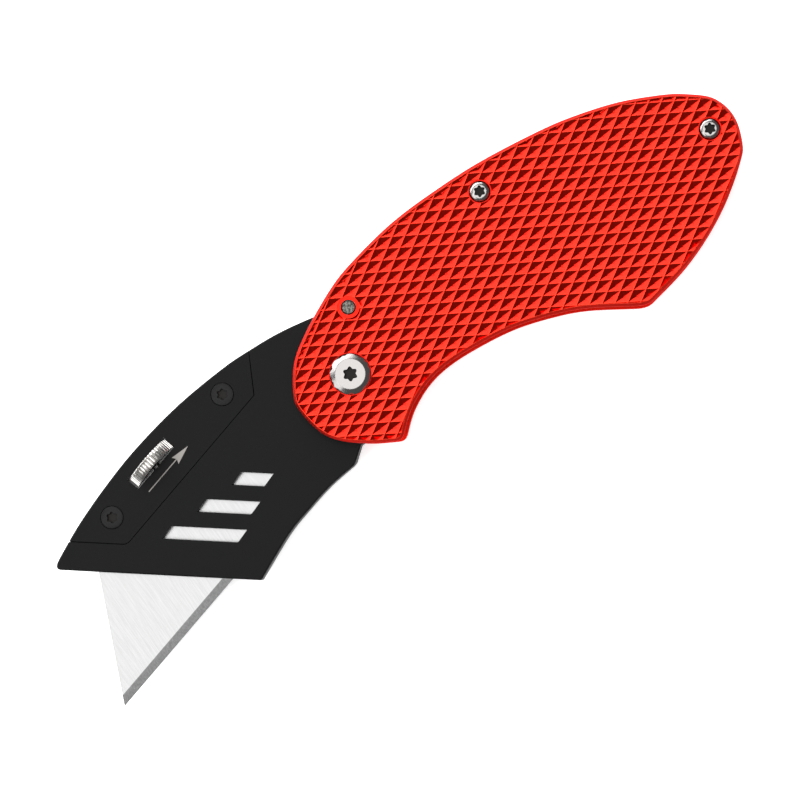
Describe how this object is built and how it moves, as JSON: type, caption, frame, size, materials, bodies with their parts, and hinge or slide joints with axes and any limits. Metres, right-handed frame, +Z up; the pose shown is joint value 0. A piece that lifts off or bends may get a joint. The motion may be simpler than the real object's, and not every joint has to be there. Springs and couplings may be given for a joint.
{
  "type": "utility knife",
  "caption": "Folding utility knife with a curved textured red handle, a black blade carrier with a thumbwheel blade clamp, and a trapezoid blade.",
  "frame": {"origin": "where the pivot axis meets the plane the knife rests on, at the outer face of the pivot barrel's head", "axes": "+X along the handle from the pivot to the tail, +Y towards the spine side, +Z up through the thickness along the pivot axis; the blade points to -X"},
  "size_m": [0.1477, 0.0419, 0.0108],
  "materials": {
    "red_scale": "red anodised, satin",
    "liner_steel": "brushed",
    "black_plastic": "moulded, fine grain",
    "bright_steel": "turned, bright",
    "wheel_steel": "satin",
    "black_carrier": "black anodised, satin",
    "black_screw": "black oxide",
    "blade_steel": "finely ground",
    "washer_bronze": "plain"
  },
  "bodies": {
    "handle": {"front_scale": "red_scale", "back_scale": "red_scale", "front_liner": "liner_steel", "back_liner": "liner_steel", "back_spacer": "black_plastic", "standoff_middle": "bright_steel", "standoff_tail": "bright_steel", "front_screw_middle": "bright_steel", "front_screw_tail": "bright_steel", "back_screw_middle": "bright_steel", "back_screw_tail": "bright_steel", "pivot_screw": "bright_steel", "pivot_barrel": "bright_steel", "front_washer": "washer_bronze", "back_washer": "washer_bronze", "stop_pin": "wheel_steel"},
    "lock": {"lock_leaf": "liner_steel", "detent_ball": "bright_steel"},
    "carrier": {"carrier_body": "black_carrier", "carrier_cover": "black_carrier", "cover_screw_front": "black_screw", "cover_screw_rear": "black_screw", "blade": "blade_steel"},
    "wheel": {"thumbwheel": "wheel_steel", "wheel_spindle": "bright_steel"},
    "latch": {"latch_bar": "bright_steel"}
  },
  "joints": [
    {"name": "carrier_fold", "type": "hinge", "parent": "handle", "child": "carrier", "pos_m": [0, 0, 0.0054], "axis": [0, 0, 1], "range_deg": [0, 160], "deforming": ["lock_leaf", "detent_ball"]},
    {"name": "lock_release", "type": "hinge", "parent": "handle", "child": "lock", "pos_m": [0.0445, 0, 0.00855], "axis": [0, 1, 0], "range_deg": [0, 2.1], "stiffness_Nm_per_rad": 0.05},
    {"name": "wheel_turn", "type": "hinge", "parent": "carrier", "child": "wheel", "pos_m": [-0.0382, 0.0082, 0.0054], "axis": [-0.2419, 0.9703, 0], "range_deg": [0, 252.1]},
    {"name": "latch_slide", "type": "slide", "parent": "carrier", "child": "latch", "axis": [-0.2419, 0.9703, 0], "range_m": [0, 0.0014]}
  ],
  "couplings": [
    {"joint": "wheel_turn", "follows": "latch_slide", "rad_per_m": 3141.6}
  ]
}
